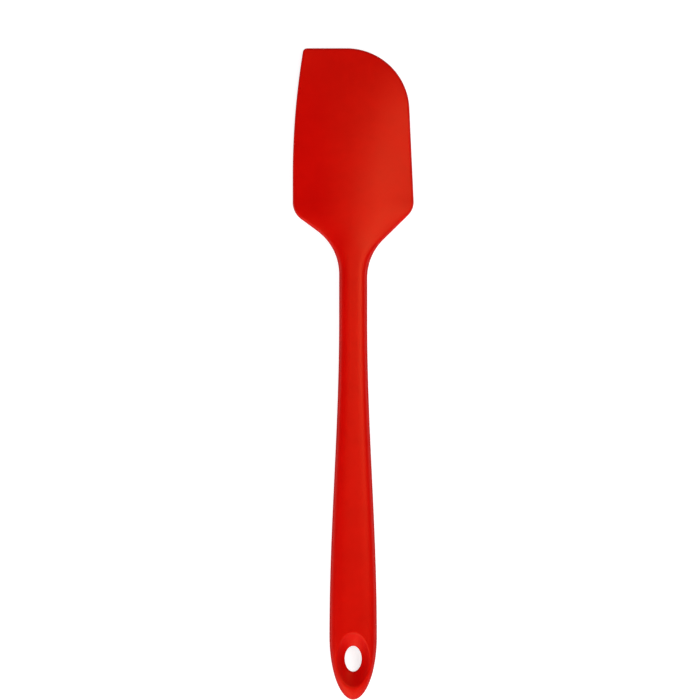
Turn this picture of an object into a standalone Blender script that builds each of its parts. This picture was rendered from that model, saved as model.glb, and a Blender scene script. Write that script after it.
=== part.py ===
# Dough scraper: one seamless silicone skin moulded round a stiff nylon core.
#
# It lies on its back. +Y runs from the hanging end to the blade's tip, +X to the rounded corner's side,
# and +Z up, out of the front face. The origin is under the middle of its length, on the surface it lies on.
# Lengths are metres. "Station" is the distance from the hanging end, "depth" the distance from the tip.

import math

import bmesh
import bpy
import numpy as np

# Whole tool
LENGTH = 0.280

# Blade outline: corners are where the straight legs would meet, before they are rounded
TIP_LEFT_CORNER = 0.0214
TIP_RIGHT_CORNER = 0.0230
SHOULDER_LEFT_CORNER = 0.0260
SHOULDER_RIGHT_CORNER = 0.0262
TIP_LEFT_RADIUS = 0.0018
TIP_RIGHT_RADIUS = 0.027
WORKING_EDGE_DEPTH = 0.0283
WORKING_EDGE_RADIUS = 0.330
LEFT_SHOULDER_DEPTH = 0.0708
LEFT_SHOULDER_RADIUS = 0.009
RIGHT_SHOULDER_DEPTH = 0.0693
RIGHT_SHOULDER_RADIUS = 0.008
LEFT_NECK_DEPTH = 0.0855
RIGHT_NECK_DEPTH = 0.0891
NECK_FILLET = 0.023

# Blade section: a thick land up the middle, crowned near the neck, between flanks that thin to the rim.
# At the shoulders the rim grows into the neck's side wall.
RIM_THICKNESS = 0.0018
LAND_REACH = 0.012
LAND_ROUNDING = 0.0050
CROWN_ROUNDING = 0.0085
CROWN_SHARE = 0.8
RIDGE_LENGTH = 0.085
WALL_START = 0.062
WALL_END = 0.095
WALL_HEIGHT = 0.0046
BLADE_FORM_DEPTH = 0.080
NECK_FORM_DEPTH = 0.093

# Neck and handle: one thickness all along, so that the tool lies on a narrow flat from end to end
SHAFT_THICKNESS = 0.011
NECK_WIDTH = 0.0121
NECK_STATION = 0.164
HANDLE_WIDTH = 0.0204
HANDLE_END = 0.027
CROWN_CUT = 0.00015
SECTION_POWER = 3.1

# Hanging hole: an oval throat that opens to both faces through a dished funnel
HOLE_STATION = 0.0175
HOLE_WIDTH = 0.0073
HOLE_HEIGHT = 0.0112
THROAT_THICKNESS = 0.0024
FUNNEL_WIDTH = 0.0146
FUNNEL_HEIGHT = 0.0238
FUNNEL_ROUNDING = 0.0008

# Core: eyelet, windowed beam and perforated tongue
CORE_GAP = 0.0003
SIDE_SKIN = 0.0020
FACE_SKIN = 0.0024
EYELET_SKIN = 0.0018
EYELET_HEIGHT_SKIN = 0.0034
EYELET_THICKNESS = 0.0030
EYELET_RIM = 0.0024
EYELET_TAPER = 0.018
CORE_SECTION_POWER = 5.0
TONGUE_WIDTH = 0.020
TONGUE_DEPTH = 0.044
TONGUE_THICKNESS = 0.0024
WINDOW_COUNT = 5
WINDOW_START = 0.040
WINDOW_LENGTH = 0.0115
WINDOW_BRIDGE = 0.0050
RAIL_WIDTH = 0.0031
TONGUE_HOLE_COUNT = 3
TONGUE_HOLE_DIAMETER = 0.0042
TONGUE_HOLE_PITCH = 0.0085
TONGUE_HOLE_END = 0.0095

# Pits that the mould's two locating pins leave in the back, down to the core
PIT_DIAMETER = 0.0028
PIT_BRIDGE = 1
PIT_NECK_STATION = 0.150

# Facets
SECTION_STEPS = 24
ROUND_STEPS = 28
FILLET_STEPS = 10

SILICONE_RED = (0.604, 0.008, 0.004, 1.0)
NYLON_NATURAL = (0.74, 0.70, 0.61, 1.0)


def clear_scene():
    for obj in list(bpy.data.objects):
        bpy.data.objects.remove(obj, do_unlink=True)


def make_material(name, colour, roughness):
    material = bpy.data.materials.new(name)
    material.use_nodes = True
    shader = material.node_tree.nodes["Principled BSDF"]
    shader.inputs["Base Color"].default_value = colour
    shader.inputs["Roughness"].default_value = roughness
    shader.inputs["Metallic"].default_value = 0.0
    material.diffuse_color = colour
    return material


def smoothstep(value, start, end):
    share = np.clip((value - start) / (end - start), 0.0, 1.0)
    return share * share * (3.0 - 2.0 * share)


def cosine_ease(value, start, end):
    share = np.clip((value - start) / (end - start), 0.0, 1.0)
    return (1.0 - np.cos(math.pi * share)) / 2.0


# Outline

def round_corners(corners):
    """Polyline through (x, depth, radius) corners, each rounded by an arc tangent to both of its legs.
    A radius is held down where its arc would run past its share of a leg."""
    points = np.array([corner[:2] for corner in corners])
    radii = np.array([corner[2] for corner in corners])
    legs = np.diff(points, axis=0)
    lengths = np.linalg.norm(legs, axis=1)
    headings = np.arctan2(legs[:, 1], legs[:, 0])
    turns = (np.diff(headings) + math.pi) % (2.0 * math.pi) - math.pi
    tangents = np.zeros(len(points))
    tangents[1:-1] = radii[1:-1] * np.tan(np.abs(turns) / 2.0)
    for leg, length in enumerate(lengths):
        wanted = tangents[leg] + tangents[leg + 1]
        if wanted > length:
            tangents[leg : leg + 2] *= 0.999 * length / wanted
    path = [points[0]]
    for index in range(1, len(points) - 1):
        turn = turns[index - 1]
        radius = tangents[index] / math.tan(abs(turn) / 2.0)
        heading = headings[index - 1]
        start = points[index] - tangents[index] * legs[index - 1] / lengths[index - 1]
        inward = np.array([-math.sin(heading), math.cos(heading)]) * math.copysign(1.0, turn)
        centre = start + radius * inward
        for angle in np.linspace(0.0, turn, FILLET_STEPS + 1):
            spoke = np.array([[math.cos(angle), -math.sin(angle)], [math.sin(angle), math.cos(angle)]])
            path.append(centre - radius * spoke @ inward)
    path.append(points[-1])
    return np.array(path)


def blade_sides():
    """The blade's left and right edges as (x, depth) polylines, from the middle of the tip to the neck."""
    neck = NECK_WIDTH / 2.0
    left = round_corners([
        (0.0, 0.0, 0.0),
        (-TIP_LEFT_CORNER, 0.0, TIP_LEFT_RADIUS),
        (-SHOULDER_LEFT_CORNER, WORKING_EDGE_DEPTH, WORKING_EDGE_RADIUS),
        (-SHOULDER_LEFT_CORNER, LEFT_SHOULDER_DEPTH, LEFT_SHOULDER_RADIUS),
        (-neck, LEFT_NECK_DEPTH, NECK_FILLET),
        (-neck, LENGTH - NECK_STATION, 0.0),
    ])
    right = round_corners([
        (-TIP_LEFT_CORNER / 2.0, 0.0, 0.0),
        (TIP_RIGHT_CORNER, 0.0, TIP_RIGHT_RADIUS),
        (SHOULDER_RIGHT_CORNER, RIGHT_SHOULDER_DEPTH, RIGHT_SHOULDER_RADIUS),
        (neck, RIGHT_NECK_DEPTH, NECK_FILLET),
        (neck, LENGTH - NECK_STATION, 0.0),
    ])
    return left[1:], right[1:]


LEFT_EDGE, RIGHT_EDGE = blade_sides()


def handle_reach(station):
    """Half width of the handle and neck: an elliptical end, then a long ease down to the neck."""
    end = np.sqrt(np.clip(1.0 - (np.clip(HANDLE_END - station, 0.0, None) / HANDLE_END) ** 2, 0.0, 1.0))
    taper = cosine_ease(station, HANDLE_END, NECK_STATION)
    return (HANDLE_WIDTH + (NECK_WIDTH - HANDLE_WIDTH) * taper) / 2.0 * end


def edge_reach(side, station):
    """Distance from the axis to the outline on one side (-1 left, +1 right) at a station."""
    depth = LENGTH - station
    edge = LEFT_EDGE if side < 0 else RIGHT_EDGE
    blade = side * np.interp(depth, edge[:, 1], edge[:, 0])
    return np.where(depth < edge[-1, 1], blade, handle_reach(station))


def rim_distance(x, depth):
    """Distance from each point to the blade's outline."""
    outline = np.concatenate([LEFT_EDGE[::-1], RIGHT_EDGE])
    start = outline[:-1]
    leg = outline[1:] - start
    point = np.stack([x, depth], axis=-1)[..., None, :]
    share = np.sum((point - start) * leg, axis=-1) / np.sum(leg * leg, axis=-1)
    nearest = start + np.clip(share, 0.0, 1.0)[..., None] * leg
    return np.min(np.linalg.norm(point - nearest, axis=-1), axis=-1)


# Section

def spine_height(station):
    """Half thickness on the axis: level along the shaft, then falling ever faster to the rim at the tip."""
    fall = np.clip(1.0 - (LENGTH - station) / RIDGE_LENGTH, 0.0, 1.0) ** 2
    return (SHAFT_THICKNESS + (RIM_THICKNESS - SHAFT_THICKNESS) * fall) / 2.0


def flank_fall(x, station):
    """How far the blade's section has fallen at x from the axis, in the units of the flank's slope: a ramp
    that starts softly at the land's edge, and a hyperbola that crowns the land, more so by the neck."""
    crown = CROWN_SHARE * (1.0 - np.clip(1.0 - (LENGTH - station) / RIDGE_LENGTH, 0.0, 1.0) ** 2)
    beyond = np.abs(x) - LAND_REACH
    on_axis = math.hypot(LAND_REACH, LAND_ROUNDING) - LAND_REACH
    ramp = (np.hypot(beyond, LAND_ROUNDING) + beyond - on_axis) / 2.0
    return ramp + crown * (np.hypot(x, CROWN_ROUNDING) - CROWN_ROUNDING)


def wall_height(station):
    """Half thickness of the blade at its outline: the rim's, and more and more from the shoulders on."""
    rim = RIM_THICKNESS / 2.0
    return rim + (WALL_HEIGHT - rim) * smoothstep(LENGTH - station, WALL_START, WALL_END)


def skin_height(x, station):
    """Height of the silicone's face above its middle plane. The handle's section is a superellipse with its
    crown cut flat; the blade's is a land and two flanks that stand on its rounded edge."""
    reach = np.where(x < 0.0, edge_reach(-1, station), edge_reach(1, station))
    share = np.clip(np.abs(x) / np.maximum(reach, 1e-9), 0.0, 1.0)
    spine = spine_height(station)
    end = np.clip(1.0 - station / HANDLE_END, 0.0, 1.0) ** 2
    spread = np.sqrt(end + (1.0 - end) * share**2)
    full = (spine + CROWN_CUT) * (1.0 - spread**SECTION_POWER) ** (1.0 / SECTION_POWER)
    handle = np.minimum(full, spine)

    wall = wall_height(station)
    inset = np.minimum(rim_distance(x, LENGTH - station) / (RIM_THICKNESS / 2.0), 1.0)
    edge = wall * np.sqrt(1.0 - (1.0 - inset) ** 2)
    foot = np.maximum(flank_fall(reach, station), 1e-9)
    blade = edge + (spine - wall) * np.clip(1.0 - flank_fall(x, station) / foot, 0.0, 1.0)

    form = smoothstep(LENGTH - station, NECK_FORM_DEPTH, BLADE_FORM_DEPTH)
    return handle + (blade - handle) * form


# Meshes

def add_object(name, mesh_data, material=None):
    mesh = bpy.data.meshes.new(name)
    mesh_data.to_mesh(mesh)
    mesh_data.free()
    obj = bpy.data.objects.new(name, mesh)
    bpy.context.scene.collection.objects.link(obj)
    if material:
        mesh.materials.append(material)
        mesh.shade_smooth()
        mesh.set_sharp_from_angle(angle=math.radians(35.0))
    else:
        obj.hide_render = True
        obj.display_type = "WIRE"
    return obj


def loft(rings):
    """Closed bmesh through rings of equal count. Points that coincide, as at a pole or a thin edge, are
    merged, and a ring that stays open at either end is capped."""
    shell = bmesh.new()
    loops = [[shell.verts.new(point) for point in ring] for ring in rings]
    count = len(loops[0])
    for low, high in zip(loops, loops[1:]):
        for i in range(count):
            j = (i + 1) % count
            shell.faces.new((low[i], low[j], high[j], high[i]))
    shell.faces.new(loops[0])
    shell.faces.new(loops[-1])
    bmesh.ops.remove_doubles(shell, verts=shell.verts, dist=1e-6)
    bmesh.ops.dissolve_degenerate(shell, edges=shell.edges, dist=1e-7)
    bmesh.ops.recalc_face_normals(shell, faces=shell.faces)
    return shell


def cut(obj, cutter):
    boolean = obj.modifiers.new("cut by " + cutter.name, "BOOLEAN")
    boolean.operation = "DIFFERENCE"
    boolean.solver = "EXACT"
    boolean.object = cutter


def place(x, station, z):
    """World point of a place given from the axis, the hanging end and the middle plane."""
    return (x, station - LENGTH / 2.0, z + SHAFT_THICKNESS / 2.0)


def prism(name, outline, half_height, middle=0.0):
    """Upright cutter with the given (x, station) outline."""
    rings = [[place(x, station, middle + z) for x, station in outline] for z in (-half_height, half_height)]
    return add_object(name, loft(rings))


def slot_outline(station, length, width):
    """Round-ended slot, long in Y, centred on the axis. With equal length and width it is a circle."""
    run = (length - width) / 2.0
    angles = np.linspace(0.0, 2.0 * math.pi, ROUND_STEPS, endpoint=False) + math.pi / ROUND_STEPS
    ahead = np.where(np.sin(angles) > 0.0, run, -run)
    return list(zip(np.cos(angles) * width / 2.0, station + ahead + np.sin(angles) * width / 2.0))


# Silicone skin

def body_stations():
    """Stations of the skin's sections, close together where the outline turns."""
    end = HANDLE_END * (1.0 - np.cos(np.linspace(0.0, math.pi / 2.0, 11)))
    taper = np.linspace(HANDLE_END, NECK_STATION, 14)
    neck = np.linspace(NECK_STATION, LENGTH - NECK_FORM_DEPTH, 5)
    shoulder = np.linspace(LENGTH - NECK_FORM_DEPTH, LENGTH - WALL_START, 14)
    blade = np.linspace(LENGTH - WALL_START, LENGTH - TIP_RIGHT_RADIUS, 7)
    tip = LENGTH - TIP_RIGHT_RADIUS * (1.0 - np.sin(np.linspace(0.0, math.pi / 2.0, 16)))
    return np.unique(np.round(np.concatenate([end, taper, neck, shoulder, blade, tip]), 7))


def skin_ring(station):
    """Section of the skin, its points spread from edge to edge as a superellipse spaces them."""
    angles = np.linspace(0.0, math.pi, SECTION_STEPS + 1)
    across = np.cos(angles)
    across = np.sign(across) * np.abs(across) ** (2.0 / SECTION_POWER)
    left, right = edge_reach(-1, station), edge_reach(1, station)
    x = (right - left + (right + left) * across) / 2.0
    height = skin_height(x, np.full_like(x, station))
    height[[0, -1]] = 0.0
    front = [place(a, station, z) for a, z in zip(x, height)]
    back = [place(a, station, -z) for a, z in zip(x[-2:0:-1], height[-2:0:-1])]
    return front + back


def hang_hole_cutter():
    """Oval throat with a funnel to each face. A funnel's wall runs straight from the throat to its mouth
    on the skin, rounds over there, and goes on past the skin."""
    turns = np.linspace(0.0, 2.0 * math.pi, ROUND_STEPS, endpoint=False) + math.pi / ROUND_STEPS
    compass = np.stack([np.cos(turns), np.sin(turns)])
    throat_xy = compass * [[HOLE_WIDTH / 2.0], [HOLE_HEIGHT / 2.0]]
    throat = np.stack([*throat_xy, np.full_like(turns, THROAT_THICKNESS / 2.0)])
    mouth_xy = compass * [[FUNNEL_WIDTH / 2.0], [FUNNEL_HEIGHT / 2.0]]
    mouth = np.stack([*mouth_xy, skin_height(mouth_xy[0], HOLE_STATION + mouth_xy[1])])
    outward = mouth - throat
    outward /= np.linalg.norm(outward, axis=0)
    lip_xy = mouth_xy * (1.0 + FUNNEL_ROUNDING / np.linalg.norm(mouth_xy, axis=0))
    lip = np.stack([*lip_xy, skin_height(lip_xy[0], HOLE_STATION + lip_xy[1])])
    past = lip + (lip - mouth) * 0.5 + np.array([[0.0], [0.0], [0.0004]])
    above = np.stack([past[0], past[1], np.full_like(turns, SHAFT_THICKNESS)])
    upper = [above, past, mouth - outward * FUNNEL_ROUNDING, throat]
    lower = [ring * [[1.0], [1.0], [-1.0]] for ring in reversed(upper)]
    rings = [[place(x, HOLE_STATION + y, z) for x, y, z in ring.T] for ring in upper + lower]
    return add_object("hang_hole_cutter", loft(rings))


def pit_cutter(name, station):
    """Round pit from below the back face to inside the core's space."""
    low = -SHAFT_THICKNESS
    high = -core_height(station) + CORE_GAP
    outline = slot_outline(station, PIT_DIAMETER, PIT_DIAMETER)
    return prism(name, outline, (high - low) / 2.0, (high + low) / 2.0)


# Core

def eyelet_half_height():
    return HOLE_HEIGHT / 2.0 + EYELET_HEIGHT_SKIN


def core_start():
    return HOLE_STATION - eyelet_half_height() - EYELET_RIM


def core_end():
    return LENGTH - TONGUE_DEPTH


def core_reach(station):
    """Half width of the core: round the eyelet, along the handle under its side skin, out into the tongue."""
    handle = handle_reach(station) - SIDE_SKIN
    flare = smoothstep(LENGTH - station, RIGHT_NECK_DEPTH, WALL_START)
    width = handle + (TONGUE_WIDTH / 2.0 - handle) * flare
    back = np.clip((HOLE_STATION - station) / (HOLE_STATION - core_start()), 0.0, 1.0)
    ahead = np.clip((station - core_end()) / (TONGUE_WIDTH / 2.0) + 1.0, 0.0, 1.0)
    return width * np.sqrt(1.0 - np.maximum(back, ahead) ** 2)


def core_height(station):
    """Half thickness of the core: thin at the eyelet, full along the handle, tapered to the tongue's end."""
    full = SHAFT_THICKNESS / 2.0 - FACE_SKIN
    rise = smoothstep(station, HANDLE_END, HANDLE_END + EYELET_TAPER)
    beam = EYELET_THICKNESS / 2.0 + (full - EYELET_THICKNESS / 2.0) * rise
    run = np.clip((station - LENGTH + NECK_FORM_DEPTH) / (core_end() - LENGTH + NECK_FORM_DEPTH), 0.0, 1.0)
    return beam + (TONGUE_THICKNESS / 2.0 - beam) * run


def core_stations():
    eyelet = HOLE_STATION - (HOLE_STATION - core_start()) * np.sin(np.linspace(math.pi / 2.0, 0.0, 9))
    rise = np.linspace(HOLE_STATION, HANDLE_END + EYELET_TAPER, 7)
    beam = np.linspace(HANDLE_END + EYELET_TAPER, LENGTH - NECK_FORM_DEPTH, 13)
    flare = np.linspace(LENGTH - NECK_FORM_DEPTH, core_end() - TONGUE_WIDTH / 2.0, 9)
    tip = core_end() - TONGUE_WIDTH / 2.0 * (1.0 - np.sin(np.linspace(0.0, math.pi / 2.0, 9)))
    return np.unique(np.round(np.concatenate([eyelet, rise, beam, flare, tip]), 7))


def core_ring(station, grow):
    angles = np.linspace(0.0, 2.0 * math.pi, ROUND_STEPS, endpoint=False) + math.pi / ROUND_STEPS
    power = 2.0 / CORE_SECTION_POWER
    x = np.sign(np.cos(angles)) * np.abs(np.cos(angles)) ** power * (core_reach(station) + grow)
    z = np.sign(np.sin(angles)) * np.abs(np.sin(angles)) ** power * (core_height(station) + grow)
    return [(a, b) for a, b in zip(x, z)]


def core_body(name, grow, material=None):
    """The core's outer form, grown by a clearance for the space that it takes up in the skin."""
    stations = core_stations()
    rings = []
    for index, station in enumerate(stations):
        moved = station - grow if index == 0 else station + grow if index == len(stations) - 1 else station
        rings.append([place(x, moved, z) for x, z in core_ring(station, grow)])
    return add_object(name, loft(rings), material)


def window_stations():
    pitch = WINDOW_LENGTH + WINDOW_BRIDGE
    return [WINDOW_START + WINDOW_LENGTH / 2.0 + index * pitch for index in range(WINDOW_COUNT)]


def tongue_hole_stations():
    last = core_end() - TONGUE_HOLE_END
    return [last - index * TONGUE_HOLE_PITCH for index in range(TONGUE_HOLE_COUNT)]


def pierce_core(core, grow):
    """Cuts the eyelet, the windows and the tongue's holes, smaller by the clearance in the skin's copy."""
    turns = np.linspace(0.0, 2.0 * math.pi, ROUND_STEPS, endpoint=False) + math.pi / ROUND_STEPS
    half_width = HOLE_WIDTH / 2.0 + EYELET_SKIN - grow
    half_height = eyelet_half_height() - grow
    eyelet = list(zip(half_width * np.cos(turns), HOLE_STATION + half_height * np.sin(turns)))
    cut(core, prism(core.name + "_eyelet", eyelet, SHAFT_THICKNESS))
    for index, station in enumerate(window_stations()):
        width = 2.0 * (core_reach(station) - RAIL_WIDTH - grow)
        outline = slot_outline(station, WINDOW_LENGTH - 2.0 * grow, width)
        cut(core, prism(f"{core.name}_window_{index + 1}", outline, SHAFT_THICKNESS))
    for index, station in enumerate(tongue_hole_stations()):
        diameter = TONGUE_HOLE_DIAMETER - 2.0 * grow
        outline = slot_outline(station, diameter, diameter)
        cut(core, prism(f"{core.name}_key_{index + 1}", outline, SHAFT_THICKNESS))


def build_core():
    core = core_body("nylon_core", 0.0, make_material("natural nylon", NYLON_NATURAL, 0.45))
    pierce_core(core, 0.0)
    return core


def build_skin():
    rings = [skin_ring(station) for station in body_stations()]
    skin = add_object("silicone_body", loft(rings), make_material("red silicone", SILICONE_RED, 0.5))
    space = core_body("core_space", CORE_GAP)
    pierce_core(space, CORE_GAP)
    cut(skin, space)
    cut(skin, hang_hole_cutter())
    bridge = (window_stations()[PIT_BRIDGE] + window_stations()[PIT_BRIDGE + 1]) / 2.0
    cut(skin, pit_cutter("handle_pit_cutter", bridge))
    cut(skin, pit_cutter("neck_pit_cutter", PIT_NECK_STATION))
    return skin


clear_scene()
build_core()
build_skin()
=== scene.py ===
import math

import bmesh
import bpy
import numpy as np
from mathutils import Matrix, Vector


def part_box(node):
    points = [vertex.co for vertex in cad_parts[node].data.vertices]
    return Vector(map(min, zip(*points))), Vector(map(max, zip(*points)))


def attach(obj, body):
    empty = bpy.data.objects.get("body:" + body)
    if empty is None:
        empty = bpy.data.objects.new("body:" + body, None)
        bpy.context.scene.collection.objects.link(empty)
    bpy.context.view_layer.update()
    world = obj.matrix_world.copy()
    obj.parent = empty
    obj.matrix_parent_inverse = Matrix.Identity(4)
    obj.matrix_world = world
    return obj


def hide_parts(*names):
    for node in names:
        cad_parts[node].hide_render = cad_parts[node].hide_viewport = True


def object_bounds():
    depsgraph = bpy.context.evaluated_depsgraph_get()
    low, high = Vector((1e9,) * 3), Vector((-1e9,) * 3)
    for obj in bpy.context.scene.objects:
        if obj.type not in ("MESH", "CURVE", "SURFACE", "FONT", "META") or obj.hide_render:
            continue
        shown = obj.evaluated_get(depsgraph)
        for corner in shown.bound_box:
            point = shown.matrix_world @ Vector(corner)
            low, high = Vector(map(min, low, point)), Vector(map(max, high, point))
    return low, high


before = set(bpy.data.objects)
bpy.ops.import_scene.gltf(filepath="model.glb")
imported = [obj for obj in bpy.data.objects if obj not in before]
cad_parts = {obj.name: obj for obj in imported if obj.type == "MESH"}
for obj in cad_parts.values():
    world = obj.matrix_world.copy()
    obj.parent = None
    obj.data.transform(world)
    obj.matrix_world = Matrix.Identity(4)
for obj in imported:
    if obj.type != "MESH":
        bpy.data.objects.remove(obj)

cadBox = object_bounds()
toolLength = cadBox[1].y - cadBox[0].y
middleHeight = (cadBox[0].z + cadBox[1].z) / 2
tiny = 1e-9                    # least divisor


# Places are (x, station, z): x from the axis, station from the hanging end, z from the middle plane.
# The blade's own lengths are depths, measured back from the tip.

handle = {
    "width": 0.0204,
    "endLength": 0.027,        # half ellipse at the hanging end
    "neckStation": 0.164,
    "neckWidth": 0.0121,
    "sectionPower": 3.4,
}

blade = {
    "leftCorners": [(-0.0214, 0.0, 0.0018), (-0.0260, 0.0283, 0.330), (-0.0260, 0.0708, 0.009)],
    "rightCorners": [(0.0230, 0.0, 0.027), (0.0262, 0.0693, 0.008)],
    "leftNeckDepth": 0.0855,
    "rightNeckDepth": 0.0891,
    "neckFillet": 0.023,
    "rimThickness": 0.0018,
    "landReach": 0.012,        # half width of the thick land up the middle
    "landRounding": 0.0050,
    "crownRounding": 0.0085,
    "crownShare": 0.8,         # slope of the land's crown at the neck, as a share of the flank's
    "ridgeLength": 0.085,
    "wallStart": 0.062,        # depths between which the rim grows into the neck's side wall
    "wallEnd": 0.095,
    "wallHeight": 0.0046,
    "formDepth": 0.080,        # all blade from here to the tip
    "neckFormDepth": 0.093,    # all neck from here to the handle
}

hangHole = {
    "station": 0.0175,
    "halfWidth": 0.00365,
    "halfHeight": 0.0056,
    "land": 0.0012,            # half thickness of the straight throat
    "mouthHalfWidth": 0.0073,
    "mouthHalfHeight": 0.0119,
    "lip": 0.0006,             # rounding at the mouth
    "throatEase": 0.0003,      # rounding where the funnel meets the throat
    "dish": 0.00012,           # how far the funnel's wall is hollow
    "lipRows": 7,
    "wallRows": 10,
    "easeRows": 4,
    "landShares": (0.3, 0.7, 1.0),   # rows of the throat, on the way to the middle plane
}

skinGrid = {
    "holeColumns": 64,
    "endSteps": (200, 30),     # samples of the outline round the end, and from there to joinStation
    "shaftColumns": 96,
    "shoulderColumns": 76,
    "sideColumns": 26,
    "tipColumns": 104,
    "tipCrowd": 3,             # how much closer the columns get at the tip's sharp corner
    "tipCrowdReach": 0.003,
    "rows": 42,
    "rowPower": 1.3,
    "rimRows": 10,
    "flankRowPower": 1.35,
    "joinStation": 0.033,      # the last column that runs to the hanging hole
    "easeStation": 0.050,
    "tipDepth": 0.040,
    "tipFan": 0.014,           # depth at which the tip's columns meet the axis
    "flash": 0.00005,          # parting line of the mould, all round the edge
    "flashHeight": 0.00012,
    "flashRows": (0, 0.4, 1, 1.7),   # heights of the first rows, as shares of the flash's
    "axisSnap": 1e-8,          # points nearer the axis are put on it, where the two sides meet
}


def smoothstep(value, start, end):
    share = np.clip((value - start) / (end - start), 0, 1)
    return share * share * (3 - 2 * share)


def cosineEase(value, start, end):
    share = np.clip((value - start) / (end - start), 0, 1)
    return (1 - np.cos(math.pi * share)) / 2


# Each corner of the path gets an arc tangent to both of its legs: it starts radius * tan(turn / 2) before
# the corner. The radii are held down where the arcs at a leg's ends would take more than longestShare of it.
def roundCorners(corners, steps=40, longestShare=0.999):
    points = np.array([corner[:2] for corner in corners])
    radii = np.array([corner[2] for corner in corners])
    legs = np.diff(points, axis=0)
    lengths = np.linalg.norm(legs, axis=1)
    headings = np.arctan2(legs[:, 1], legs[:, 0])
    turns = (np.diff(headings) + math.pi) % (2 * math.pi) - math.pi
    tangents = np.zeros(len(points))
    tangents[1:-1] = radii[1:-1] * np.tan(np.abs(turns) / 2)
    for leg, length in enumerate(lengths):
        wanted = tangents[leg] + tangents[leg + 1]
        if wanted > length:
            tangents[leg : leg + 2] *= longestShare * length / wanted
    path = [points[:1]]
    for index in range(1, len(points) - 1):
        turn, heading = turns[index - 1], headings[index - 1]
        radius = tangents[index] / math.tan(abs(turn) / 2)
        start = points[index] - tangents[index] * legs[index - 1] / lengths[index - 1]
        inward = np.array([-math.sin(heading), math.cos(heading)]) * math.copysign(1, turn)
        angles = np.linspace(0, turn, steps + 1)
        spokes = np.stack([
            np.cos(angles) * inward[0] - np.sin(angles) * inward[1],
            np.sin(angles) * inward[0] + np.cos(angles) * inward[1],
        ], axis=1)
        path.append(start + radius * inward - radius * spokes)
    path.append(points[-1:])
    return np.concatenate(path)


# Both edges of the blade as (x, depth) paths from where the tip's straight edge meets its round corner
def bladeEdges():
    neck = handle["neckWidth"] / 2
    neckEnd = toolLength - handle["neckStation"]
    left = roundCorners([
        (0, 0, 0), *blade["leftCorners"],
        (-neck, blade["leftNeckDepth"], blade["neckFillet"]), (-neck, neckEnd, 0),
    ])
    right = roundCorners([
        (blade["leftCorners"][0][0] / 2, 0, 0), *blade["rightCorners"],
        (neck, blade["rightNeckDepth"], blade["neckFillet"]), (neck, neckEnd, 0),
    ])[1:]
    left[0] = right[0]
    return left, right


leftEdge, rightEdge = bladeEdges()


# Half width of the shaft: reach * sqrt(1 - share^2) over the end, then a half cosine from handle to neck
def handleReach(station):
    end = np.clip(1 - station / handle["endLength"], 0, 1)
    taper = cosineEase(station, handle["endLength"], handle["neckStation"])
    return (handle["width"] + (handle["neckWidth"] - handle["width"]) * taper) / 2 * np.sqrt(1 - end**2)


def edgeReach(side, station):
    edge = leftEdge if side < 0 else rightEdge
    depth = toolLength - station
    onBlade = side * np.interp(depth, edge[:, 1], edge[:, 0])
    return np.where(depth < edge[-1, 1], onBlade, handleReach(station))


# Distance to the blade's outline: the least over its straight pieces, each for all points at once
def rimDistance(x, depth):
    outline = np.concatenate([leftEdge[::-1], rightEdge[1:]])
    nearest = np.full(x.shape, np.inf)
    for start, leg in zip(outline[:-1], np.diff(outline, axis=0)):
        offX, offDepth = x - start[0], depth - start[1]
        share = np.clip((offX * leg[0] + offDepth * leg[1]) / (leg @ leg), 0, 1)
        nearest = np.minimum(nearest, (offX - share * leg[0]) ** 2 + (offDepth - share * leg[1]) ** 2)
    return np.sqrt(nearest)


# Square of the share of the ridge that is still to come towards the tip: 0 at the neck, 1 at the tip
def ridgeFall(station):
    return np.clip(1 - (toolLength - station) / blade["ridgeLength"], 0, 1) ** 2


# Half thickness on the axis: level along the shaft, then down to the rim with the ridge's fall
def spineHeight(station):
    return middleHeight + (blade["rimThickness"] / 2 - middleHeight) * ridgeFall(station)


# How far the blade's section has fallen at x: (sqrt(b^2 + r^2) + b) / 2 with b = |x| - land, a ramp that
# starts softly at the land's edge and is 0 on the axis, and sqrt(x^2 + c^2) - c, a crown on the land that
# grows towards the neck
def flankFall(x, station):
    crown = blade["crownShare"] * (1 - ridgeFall(station))
    reach, soft = blade["landReach"], blade["landRounding"]
    beyond = np.abs(x) - reach
    ramp = (np.hypot(beyond, soft) + beyond - math.hypot(reach, soft) + reach) / 2
    return ramp + crown * (np.hypot(x, blade["crownRounding"]) - blade["crownRounding"])


# Half thickness of the blade at its outline: the rim's, and at the shoulders more and more, up to the
# neck's wall
def wallHeight(station):
    rim = blade["rimThickness"] / 2
    growth = smoothstep(toolLength - station, blade["wallStart"], blade["wallEnd"])
    return rim + (blade["wallHeight"] - rim) * growth


# Height of a face over the middle plane. Shaft: a superellipse, spine * (1 - spread^n)^(1/n). Blade: a
# quarter ellipse from the outline up to the wall's height, and on it a land and two flanks.
def skinHeight(x, station):
    reach = np.where(x < 0, edgeReach(-1, station), edgeReach(1, station))
    share = np.clip(np.abs(x) / np.maximum(reach, tiny), 0, 1)
    spine = spineHeight(station)
    end = np.clip(1 - station / handle["endLength"], 0, 1) ** 2
    spread = np.sqrt(end + (1 - end) * share**2)
    power = handle["sectionPower"]
    shaft = spine * np.clip(1 - spread**power, 0, 1) ** (1 / power)

    wall = wallHeight(station)
    inset = np.minimum(rimDistance(x, toolLength - station) / (blade["rimThickness"] / 2), 1)
    edge = wall * np.sqrt(1 - (1 - inset) ** 2)
    foot = np.maximum(flankFall(reach, station), tiny)
    flank = edge + (spine - wall) * np.clip(1 - flankFall(x, station) / foot, 0, 1)
    form = smoothstep(toolLength - station, blade["neckFormDepth"], blade["formDepth"])
    return shaft + (flank - shaft) * form


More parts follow.
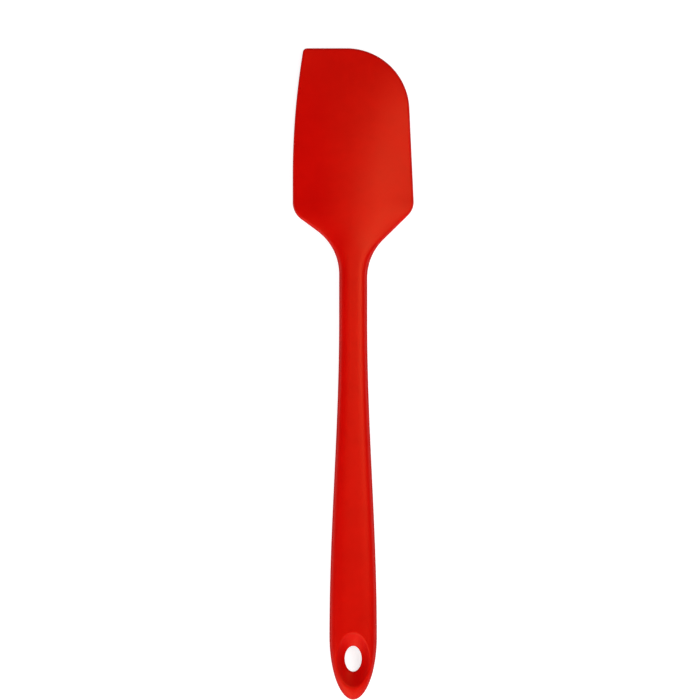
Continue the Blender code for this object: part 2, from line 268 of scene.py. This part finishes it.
# Places along a path at equal shares of its weighted length
def walk(path, count, weight=None):
    steps = np.linalg.norm(np.diff(path, axis=0), axis=1)
    if weight is not None:
        steps = steps * weight((path[1:] + path[:-1]) / 2)
    run = np.concatenate([[0], np.cumsum(steps)])
    wanted = np.linspace(0, run[-1], count)
    return np.stack([np.interp(wanted, run, path[:, axis]) for axis in (0, 1)], axis=1)


# Outer and inner ends of one side's columns, from the hanging end to the tip: outside they follow the
# outline, inside they go round the hanging hole's mouth and then up the axis, and fan out at the tip. Round
# the tip's sharp corner they stand closer, by 1 + crowd * exp(-(distance / reach)^2).
def columnEnds(side):
    grid, mouth = skinGrid, hangHole
    roundSteps, straightSteps = grid["endSteps"]
    turn = np.linspace(0, math.pi / 2, roundSteps)
    endStations = np.concatenate([
        handle["endLength"] * (1 - np.cos(turn)),
        np.linspace(handle["endLength"], grid["joinStation"], straightSteps)[1:],
    ])
    outer = [walk(np.stack([side * handleReach(endStations), endStations], axis=1), grid["holeColumns"])]
    angle = np.linspace(-math.pi / 2, math.pi / 2, grid["holeColumns"])
    inner = [np.stack([
        side * (mouth["mouthHalfWidth"] + mouth["lip"]) * np.cos(angle),
        mouth["station"] + (mouth["mouthHalfHeight"] + mouth["lip"]) * np.sin(angle),
    ], axis=1)]
    lag = grid["joinStation"] - inner[0][-1, 1]

    depths = (blade["neckFormDepth"], blade["wallStart"], grid["tipDepth"])
    bounds = [grid["joinStation"], *(toolLength - depth for depth in depths)]
    counts = (grid["shaftColumns"], grid["shoulderColumns"], grid["sideColumns"])
    stations = np.concatenate([
        np.linspace(start, end, count)[1:] for start, end, count in zip(bounds, bounds[1:], counts)
    ])
    outer.append(np.stack([side * edgeReach(side, stations), stations], axis=1))
    behind = lag * (1 - smoothstep(stations, grid["joinStation"], grid["easeStation"]))
    inner.append(np.stack([np.zeros_like(stations), stations - behind], axis=1))

    edge = leftEdge if side < 0 else rightEdge
    start = [np.interp(grid["tipDepth"], edge[:, 1], edge[:, 0]), grid["tipDepth"]]
    tip = np.concatenate([[start], edge[edge[:, 1] < grid["tipDepth"]][::-1]])
    corner, reach = np.array(blade["leftCorners"][0][:2]), grid["tipCrowdReach"]
    tip = walk(tip, grid["tipColumns"], lambda at: (
        1 + grid["tipCrowd"] * np.exp(-np.sum((at - corner) ** 2, axis=1) / reach**2)
    ))
    outer.append(np.stack([tip[1:, 0], toolLength - tip[1:, 1]], axis=1))
    fan = np.linspace(grid["tipDepth"], grid["tipFan"], grid["tipColumns"])[1:]
    inner.append(np.stack([np.zeros_like(fan), toolLength - fan], axis=1))
    return np.concatenate(outer), np.concatenate(inner)


# Shares of the way in from the edge for every row of every column. Shaft: 1 - cos(t)^(2/n), which spaces a
# superellipse evenly. Blade: rim * (1 - cos(t)) over the half-round rim, then a power of the rest. The
# first rows lie at the flash's own heights.
def rowShares(outer, inner):
    rows, rimRows = skinGrid["rows"], skinGrid["rimRows"]
    count = np.arange(rows + 1)
    flashRows = np.array(skinGrid["flashRows"]) * skinGrid["flashHeight"]
    last = len(flashRows) - 1
    first = (flashRows / middleHeight) ** (handle["sectionPower"] / 2)
    onward = ((count[last + 1 :] - last) / (rows - last)) ** skinGrid["rowPower"]
    turns = np.concatenate([first, first[-1] + (math.pi / 2 - first[-1]) * onward])
    onShaft = 1 - np.cos(turns) ** (2 / handle["sectionPower"])

    rim = blade["rimThickness"] / 2
    rimTurns = np.concatenate([np.arcsin(flashRows / rim), np.full(rows - last, math.pi / 2)])
    rimTurns[last : rimRows + 1] = np.linspace(rimTurns[last], math.pi / 2, rimRows - last + 1)
    beyond = np.clip((count - rimRows) / (rows - rimRows), 0, 1) ** skinGrid["flankRowPower"]
    length = np.linalg.norm(outer - inner, axis=1)[:, None]
    onBlade = (rim * (1 - np.cos(rimTurns)) + (length - rim) * beyond) / length
    form = smoothstep(toolLength - outer[:, 1], blade["neckFormDepth"], blade["formDepth"])[:, None]
    return onShaft + (onBlade - onShaft) * form


# Rows of the funnel from the skin to the middle plane: a quadratic bend over the lip, the wall with a
# shallow sine hollow, another bend, and the straight throat. A bend is a * (1-v)^2 + b * 2v(1-v) + c * v^2.
def funnelRows(edge, corner, throat):
    def bend(a, b, c, rows):
        v = np.linspace(0, 1, rows + 1)[None, 1:, None]
        return a[:, None] * (1 - v) ** 2 + b[:, None] * 2 * v * (1 - v) + c[:, None] * v**2

    wall = throat - corner
    unit = wall / np.linalg.norm(wall, axis=1)[:, None]
    lipEnd = corner + unit * hangHole["lip"]
    easeStart = throat - unit * hangHole["throatEase"]
    easeEnd = throat - np.array([0, 0, hangHole["throatEase"]])
    middle = throat * np.array([1, 1, 0])
    across = np.cross(unit, np.cross(unit, np.array([0.0, 0.0, 1.0])))
    across /= np.linalg.norm(across, axis=1)[:, None]

    v = np.linspace(0, 1, hangHole["wallRows"] + 1)[None, 1:, None]
    slope = lipEnd[:, None] * (1 - v) + easeStart[:, None] * v
    slope += across[:, None] * np.sin(v * math.pi) * hangHole["dish"]
    v = np.array(hangHole["landShares"])[None, :, None]
    land = easeEnd[:, None] * (1 - v) + middle[:, None] * v
    lip = bend(edge, corner, lipEnd, hangHole["lipRows"])
    ease = bend(easeStart, throat, easeEnd, hangHole["easeRows"])
    return np.concatenate([lip, slope, ease, land], axis=1)


def gridFaces(columns, rows, start=0):
    index = start + np.arange(columns * rows).reshape(columns, rows)
    corners = [index[:-1, :-1], index[1:, :-1], index[1:, 1:], index[:-1, 1:]]
    return np.stack(corners, axis=-1).reshape(-1, 4)


# A new object with a merged, closed copy of a mesh, its faces pointing out
def meshCopy(name, source, mergeDistance=1e-7):
    mesh = bpy.data.meshes.new(name)
    work = bmesh.new()
    work.from_mesh(source)
    bmesh.ops.remove_doubles(work, verts=work.verts, dist=mergeDistance)
    bmesh.ops.dissolve_degenerate(work, edges=work.edges, dist=mergeDistance)
    bmesh.ops.recalc_face_normals(work, faces=work.faces)
    work.to_mesh(mesh)
    work.free()
    mesh.shade_smooth()
    obj = bpy.data.objects.new(name, mesh)
    bpy.context.scene.collection.objects.link(obj)
    return obj


def meshObject(name, points, faces):
    loose = bpy.data.meshes.new(name)
    loose.from_pydata(points.tolist(), [], faces.tolist())
    obj = meshCopy(name, loose)
    bpy.data.meshes.remove(loose)
    return obj


# For each side of each face, one sheet and one funnel. The first rows are pushed out along the outline's own
# normal by the parting line, flash * (1 - height / flashHeight).
def siliconeSkin():
    points, faces, used = [], [], 0
    for side in (-1, 1):
        outer, inner = columnEnds(side)
        share = rowShares(outer, inner)[..., None]
        flat = outer[:, None] * (1 - share) + inner[:, None] * share
        height = skinHeight(flat[..., 0], flat[..., 1])
        height[:, 0] = 0
        along = np.gradient(outer, axis=0)
        outward = np.stack([along[:, 1], -along[:, 0]], axis=1) * side
        outward /= np.linalg.norm(outward, axis=1)[:, None]
        outward[0], outward[-1] = (0, -1), (0, 1)
        flash = skinGrid["flash"] * np.clip(1 - height / skinGrid["flashHeight"], 0, 1)
        flash[:, len(skinGrid["flashRows"]) :] = 0
        flat = flat + outward[:, None] * (flash - skinGrid["flash"] * (1 - share[..., 0]))[..., None]
        sheet = np.concatenate([flat, height[..., None]], axis=2)

        holes = skinGrid["holeColumns"]
        angle = np.linspace(-math.pi / 2, math.pi / 2, holes)
        mouth = np.stack([
            side * hangHole["mouthHalfWidth"] * np.cos(angle),
            hangHole["station"] + hangHole["mouthHalfHeight"] * np.sin(angle),
        ], axis=1)
        corner = np.concatenate([mouth, skinHeight(mouth[:, 0], mouth[:, 1])[:, None]], axis=1)
        throat = np.stack([
            side * hangHole["halfWidth"] * np.cos(angle),
            hangHole["station"] + hangHole["halfHeight"] * np.sin(angle),
            np.full(holes, hangHole["land"]),
        ], axis=1)
        funnel = funnelRows(sheet[:holes, -1], corner, throat)
        funnel = np.concatenate([sheet[:holes, -1:], funnel], axis=1)
        for face in (1, -1):
            for surface in (sheet, funnel):
                columns, rows = surface.shape[:2]
                faces.append(gridFaces(columns, rows, used))
                points.append((surface * [1, 1, face]).reshape(-1, 3))
                used += columns * rows
    points = np.concatenate(points) + [0, -toolLength / 2, middleHeight]
    points[:, 0] = np.where(np.abs(points[:, 0]) < skinGrid["axisSnap"], 0, points[:, 0])
    return meshObject("silicone_skin", points, np.concatenate(faces))


# Back of the tool, and the room inside it for the core

pinPits = {
    "stations": (0.0705, 0.150),
    "radius": 0.0014,
    "lip": 0.00025,            # rounding where a pit meets the back
    "lipSteps": 5,
    "overrun": 0.001,          # how far a cutter goes on below the tool
    "coreGap": 0.0003,
    "sides": 40,
    "sharpAngle": 40,
}


# Turned cutter: a straight wall from the core's room down to the back, then a quarter circle out to the
# lip, (radius + lip * (1 - cos(t)), back + lip * (1 - sin(t))), and straight on below the tool
def pitCutter(station, top):
    radius, lip = pinPits["radius"], pinPits["lip"]
    turn = np.linspace(0, math.pi / 2, pinPits["lipSteps"] + 1)
    reach = np.concatenate([[0, radius], radius + lip * (1 - np.cos(turn)), [radius + lip, 0]])
    level = np.concatenate([[top, top], lip * (1 - np.sin(turn)), [-pinPits["overrun"]] * 2])
    around = np.linspace(0, 2 * math.pi, pinPits["sides"] + 1) + math.pi / pinPits["sides"]
    points = np.stack([
        np.cos(around)[:, None] * reach,
        np.sin(around)[:, None] * reach + station - toolLength / 2,
        np.broadcast_to(level, (len(around), len(level))),
    ], axis=2)
    return meshObject("pit_cutter", points.reshape(-1, 3), gridFaces(*points.shape[:2]))


# The core's own surface, moved out along its normals by the gap
def coreRoom():
    room = meshCopy("core_room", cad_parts["nylon_core"].data)
    count = len(room.data.vertices)
    points, normals = np.empty(count * 3), np.empty(count * 3)
    room.data.vertices.foreach_get("co", points)
    room.data.vertices.foreach_get("normal", normals)
    room.data.vertices.foreach_set("co", points + normals * pinPits["coreGap"])
    room.data.update()
    return room


def cutAway(obj, cutters):
    for cutter in cutters:
        boolean = obj.modifiers.new(cutter.name, "BOOLEAN")
        boolean.operation = "DIFFERENCE"
        boolean.solver = "EXACT"
        boolean.object = cutter
    bpy.context.view_layer.update()
    result = bpy.data.meshes.new_from_object(obj.evaluated_get(bpy.context.evaluated_depsgraph_get()))
    obj.modifiers.clear()
    whole, obj.data = obj.data, result
    bpy.data.meshes.remove(whole)
    for cutter in cutters:
        bpy.data.meshes.remove(cutter.data)
    obj.data.set_sharp_from_angle(angle=math.radians(pinPits["sharpAngle"]))


# The room for the core, and the pits, which end a lip's height above the core's underside
def openBack(skin):
    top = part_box("nylon_core")[0].z + pinPits["lip"]
    cutAway(skin, [coreRoom(), *(pitCutter(station, top) for station in pinPits["stations"])])


# Materials

silicone = {
    "deepColour": (0.565, 0.0004, 0.0003),
    "paleColour": (0.625, 0.0006, 0.0004),
    "roughness": (0.36, 0.40),
    "edgeRoughness": 0.85,     # at a grazing angle, where a satin skin loses its gloss
    "grazing": (0.30, 0.70),   # 1 - cosine of the angles between which it does so
    "specularLevel": 0.45,
    "specularTint": (1.0, 0.22, 0.08),
    "grainScale": 3400,        # satin left by the blasted mould
    "mottleScale": 70,
    "grainDepth": 0.000012,
    "waveScale": 38,           # slight unevenness of a thick moulding as it cools
    "waveDepth": 0.00004,
}

nylon = {
    "deepColour": (0.66, 0.62, 0.52),
    "paleColour": (0.78, 0.75, 0.66),
    "roughness": (0.40, 0.55),
    "grainScale": 1800,
    "mottleScale": 110,
    "grainDepth": 0.00002,
    "fibreStretch": (5.0, 1.0, 5.0),   # glass fibres lie along the flow, from end to end
}


# Shared by both moulded surfaces; scales are multiples of a material's own
mould = {
    "fineDetail": 2.0,
    "coarse": 0.31,            # second, coarser grain
    "coarseDetail": 1.0,
    "coarseShare": 0.3,
    "cloudDetail": 3.0,
    "fleck": 4.3,              # finer cloud over the slow one
    "fleckDetail": 2.0,
    "fleckShare": 0.35,
    "cloudRange": (0.32, 0.68),
}


def newMaterial(name):
    material = bpy.data.materials.new(name)
    material.use_nodes = True
    nodes = material.node_tree.nodes
    return material, nodes, material.node_tree.links, nodes["Principled BSDF"]


# Surface of a moulding: Height is grain at two sizes, fine + (coarse - fine) * share; Mottle is a slow cloud
# with a finer one over it, mixed the same way and spread over 0 to 1
def mouldedSurface():
    group = bpy.data.node_groups.new("mouldedSurface", "ShaderNodeTree")
    group.interface.new_socket("Place", in_out="INPUT", socket_type="NodeSocketVector")
    group.interface.new_socket("Grain Scale", in_out="INPUT", socket_type="NodeSocketFloat")
    group.interface.new_socket("Mottle Scale", in_out="INPUT", socket_type="NodeSocketFloat")
    group.interface.new_socket("Height", in_out="OUTPUT", socket_type="NodeSocketFloat")
    group.interface.new_socket("Mottle", in_out="OUTPUT", socket_type="NodeSocketFloat")
    nodes, links = group.nodes, group.links
    given, result = nodes.new("NodeGroupInput"), nodes.new("NodeGroupOutput")

    def noise(scaleSocket, times, detail):
        node = nodes.new("ShaderNodeTexNoise")
        node.inputs["Detail"].default_value = detail
        scale = nodes.new("ShaderNodeMath")
        scale.operation = "MULTIPLY"
        scale.inputs[1].default_value = times
        links.new(given.outputs[scaleSocket], scale.inputs[0])
        links.new(scale.outputs[0], node.inputs["Scale"])
        links.new(given.outputs["Place"], node.inputs["Vector"])
        return node.outputs["Fac"]

    def blend(first, second, share):
        node = nodes.new("ShaderNodeMix")
        node.inputs["Factor"].default_value = share
        links.new(first, node.inputs["A"])
        links.new(second, node.inputs["B"])
        return node.outputs["Result"]

    fine = noise("Grain Scale", 1.0, mould["fineDetail"])
    coarse = noise("Grain Scale", mould["coarse"], mould["coarseDetail"])
    grain = blend(fine, coarse, mould["coarseShare"])
    slow = noise("Mottle Scale", 1.0, mould["cloudDetail"])
    fleck = noise("Mottle Scale", mould["fleck"], mould["fleckDetail"])
    cloud = blend(slow, fleck, mould["fleckShare"])
    spread = nodes.new("ShaderNodeMapRange")
    spread.inputs["From Min"].default_value, spread.inputs["From Max"].default_value = mould["cloudRange"]
    links.new(cloud, spread.inputs["Value"])
    links.new(grain, result.inputs["Height"])
    links.new(spread.outputs["Result"], result.inputs["Mottle"])
    return group


surfaceGroup = mouldedSurface()


# Puts the group into a material: Mottle picks the colour and the roughness, Height goes into a Bump, which
# is returned
def mouldedFinish(finish, place, nodes, links, shader):
    surface = nodes.new("ShaderNodeGroup")
    surface.node_tree = surfaceGroup
    surface.inputs["Grain Scale"].default_value = finish["grainScale"]
    surface.inputs["Mottle Scale"].default_value = finish["mottleScale"]
    links.new(place, surface.inputs["Place"])
    colour = nodes.new("ShaderNodeMix")
    colour.data_type = "RGBA"
    colour.inputs["A"].default_value = (*finish["deepColour"], 1)
    colour.inputs["B"].default_value = (*finish["paleColour"], 1)
    links.new(surface.outputs["Mottle"], colour.inputs["Factor"])
    links.new(colour.outputs["Result"], shader.inputs["Base Color"])
    roughness = nodes.new("ShaderNodeMapRange")
    roughness.inputs["To Min"].default_value, roughness.inputs["To Max"].default_value = finish["roughness"]
    links.new(surface.outputs["Mottle"], roughness.inputs["Value"])
    links.new(roughness.outputs["Result"], shader.inputs["Roughness"])
    grain = nodes.new("ShaderNodeBump")
    grain.inputs["Distance"].default_value = finish["grainDepth"]
    links.new(surface.outputs["Height"], grain.inputs["Height"])
    links.new(grain.outputs["Normal"], shader.inputs["Normal"])
    return grain


# Roughness goes from the moulding's own to edgeRoughness as the surface turns away from the eye, and a slow
# noise swells the surface under the grain
def siliconeMaterial():
    material, nodes, links, shader = newMaterial("red_silicone")
    place = nodes.new("ShaderNodeTexCoord").outputs["Object"]
    grain = mouldedFinish(silicone, place, nodes, links, shader)
    shader.inputs["Specular IOR Level"].default_value = silicone["specularLevel"]
    shader.inputs["Specular Tint"].default_value = (*silicone["specularTint"], 1)
    facing = nodes.new("ShaderNodeLayerWeight")
    facing.inputs["Blend"].default_value = 0.5     # at 0.5, Facing is 1 - cosine
    graze = nodes.new("ShaderNodeMapRange")
    graze.interpolation_type = "SMOOTHSTEP"
    graze.inputs["From Min"].default_value, graze.inputs["From Max"].default_value = silicone["grazing"]
    satin = nodes.new("ShaderNodeMix")
    satin.inputs["B"].default_value = silicone["edgeRoughness"]
    links.new(facing.outputs["Facing"], graze.inputs["Value"])
    links.new(graze.outputs["Result"], satin.inputs["Factor"])
    links.new(shader.inputs["Roughness"].links[0].from_socket, satin.inputs["A"])
    links.new(satin.outputs["Result"], shader.inputs["Roughness"])
    wave = nodes.new("ShaderNodeTexNoise")
    wave.inputs["Scale"].default_value = silicone["waveScale"]
    wave.inputs["Detail"].default_value = 0
    links.new(place, wave.inputs["Vector"])
    swell = nodes.new("ShaderNodeBump")
    swell.inputs["Distance"].default_value = silicone["waveDepth"]
    links.new(wave.outputs["Fac"], swell.inputs["Height"])
    links.new(swell.outputs["Normal"], grain.inputs["Normal"])
    return material


def nylonMaterial():
    material, nodes, links, shader = newMaterial("natural_nylon")
    stretch = nodes.new("ShaderNodeMapping")
    stretch.inputs["Scale"].default_value = nylon["fibreStretch"]
    links.new(nodes.new("ShaderNodeTexCoord").outputs["Object"], stretch.inputs["Vector"])
    mouldedFinish(nylon, stretch.outputs["Vector"], nodes, links, shader)
    return material


print("silicone skin")
skin = siliconeSkin()
openBack(skin)
skin.data.materials.append(siliconeMaterial())
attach(skin, "root")
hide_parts("silicone_body")

print("nylon core")
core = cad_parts["nylon_core"]
core.data.materials.clear()
core.data.materials.append(nylonMaterial())


# Studio

studio = {
    "pixel": 0.00043,                # size of one pixel of the square picture at the middle plane
    "pixels": 700,
    "viewCentre": (-0.00136, 0.01026),
    "cameraDistance": 1.1,
    "cameraClip": (0.01, 20),
    "lampAim": (0, 0.02, 0.005),
    "floorColour": 0.5,
    "floorRoughness": 0.9,
    "floorReach": 6.0,
    "floorLift": (0.77, 0.92),       # added to what is seen of the floor, beside the object and far from it
    "lampReach": (0.10, 0.75),       # distances between which the first lift gives way to the second
    "walls": 1.0,
    "ceiling": 0.065,
    "wallTop": (0.10, 0.28),         # sines of the elevations between which the walls give way to the ceiling
}

lamps = {
    "soft_box": {"place": (0.22, 0.07, 0.51), "size": (0.26, 0.22), "watts": 1.45},
    "top_box": {"place": (0.00, 0.06, 0.98), "size": (0.3, 0.3), "watts": 0.65},
    "left_fill": {"place": (-0.53, -0.94, 0.69), "size": (1.2, 0.85), "watts": 11.4},
    "right_fill": {"place": (0.42, -1.02, 0.66), "size": (0.9, 0.7), "watts": 4.9},
}


def studioCamera():
    data = bpy.data.cameras.new("camera")
    camera = bpy.data.objects.new("camera", data)
    bpy.context.scene.collection.objects.link(camera)
    camera.location = (*studio["viewCentre"], middleHeight + studio["cameraDistance"])
    width = studio["pixel"] * studio["pixels"]
    data.lens = data.sensor_width * studio["cameraDistance"] / width
    data.clip_start, data.clip_end = studio["cameraClip"]
    bpy.context.scene.camera = camera


def areaLight(name, place, size, watts):
    data = bpy.data.lights.new(name, "AREA")
    data.shape = "RECTANGLE"
    data.size, data.size_y = size
    data.energy = watts
    light = bpy.data.objects.new(name, data)
    light.location = place
    heading = Vector(studio["lampAim"]) - Vector(place)
    light.rotation_euler = heading.to_track_quat("-Z", "Y").to_euler()
    light.visible_camera = False
    bpy.context.scene.collection.objects.link(light)


# 1 for the rays that show the background: from the camera, off gloss and through glass
def seenDirectly(nodes, links):
    path = nodes.new("ShaderNodeLightPath")
    found = path.outputs["Is Camera Ray"]
    for ray in ("Is Glossy Ray", "Is Transmission Ray"):
        either = nodes.new("ShaderNodeMath")
        either.operation = "MAXIMUM"
        links.new(found, either.inputs[0])
        links.new(path.outputs[ray], either.inputs[1])
        found = either.outputs[0]
    return found


# The lamps fall off across the table, so the lift grows with the distance from the object, and the floor
# stays white as far as the walls
def studioFloor():
    size = studio["floorReach"]
    corners = np.array([[-size, -size, 0], [size, -size, 0], [size, size, 0], [-size, size, 0]])
    floor = meshObject("floor", corners, np.array([[0, 1, 2, 3]]))
    material, nodes, links, shader = newMaterial("studio_floor")
    shader.inputs["Base Color"].default_value = (studio["floorColour"],) * 3 + (1,)
    shader.inputs["Roughness"].default_value = studio["floorRoughness"]
    shader.inputs["Specular IOR Level"].default_value = 0.0
    shader.inputs["Emission Color"].default_value = (1, 1, 1, 1)
    place = nodes.new("ShaderNodeTexCoord")
    away = nodes.new("ShaderNodeVectorMath")
    away.operation = "LENGTH"
    lift = nodes.new("ShaderNodeMapRange")
    lift.interpolation_type = "SMOOTHSTEP"
    lift.inputs["From Min"].default_value, lift.inputs["From Max"].default_value = studio["lampReach"]
    lift.inputs["To Min"].default_value, lift.inputs["To Max"].default_value = studio["floorLift"]
    shown = nodes.new("ShaderNodeMath")
    shown.operation = "MULTIPLY"
    links.new(place.outputs["Object"], away.inputs[0])
    links.new(away.outputs["Value"], lift.inputs["Value"])
    links.new(lift.outputs["Result"], shown.inputs[0])
    links.new(seenDirectly(nodes, links), shown.inputs[1])
    links.new(shown.outputs[0], shader.inputs["Emission Strength"])
    floor.data.materials.append(material)


# Pale walls from the horizon up to wallTop, and a dim ceiling above them
def studioWorld():
    world = bpy.data.worlds.new("studio")
    bpy.context.scene.world = world
    world.use_nodes = True
    nodes, links = world.node_tree.nodes, world.node_tree.links
    place = nodes.new("ShaderNodeTexCoord")
    parts = nodes.new("ShaderNodeSeparateXYZ")
    light = nodes.new("ShaderNodeMapRange")
    light.interpolation_type = "SMOOTHSTEP"
    light.inputs["From Min"].default_value, light.inputs["From Max"].default_value = studio["wallTop"]
    light.inputs["To Min"].default_value = studio["walls"]
    light.inputs["To Max"].default_value = studio["ceiling"]
    links.new(place.outputs["Generated"], parts.inputs[0])
    links.new(parts.outputs["Z"], light.inputs["Value"])
    links.new(light.outputs["Result"], nodes["Background"].inputs["Strength"])
    nodes["Background"].inputs["Color"].default_value = (1, 1, 1, 1)


print("studio")
studioCamera()
studioFloor()
studioWorld()
for name, lamp in lamps.items():
    areaLight(name, **lamp)
bpy.context.scene.view_settings.view_transform = "Standard"

print("done")
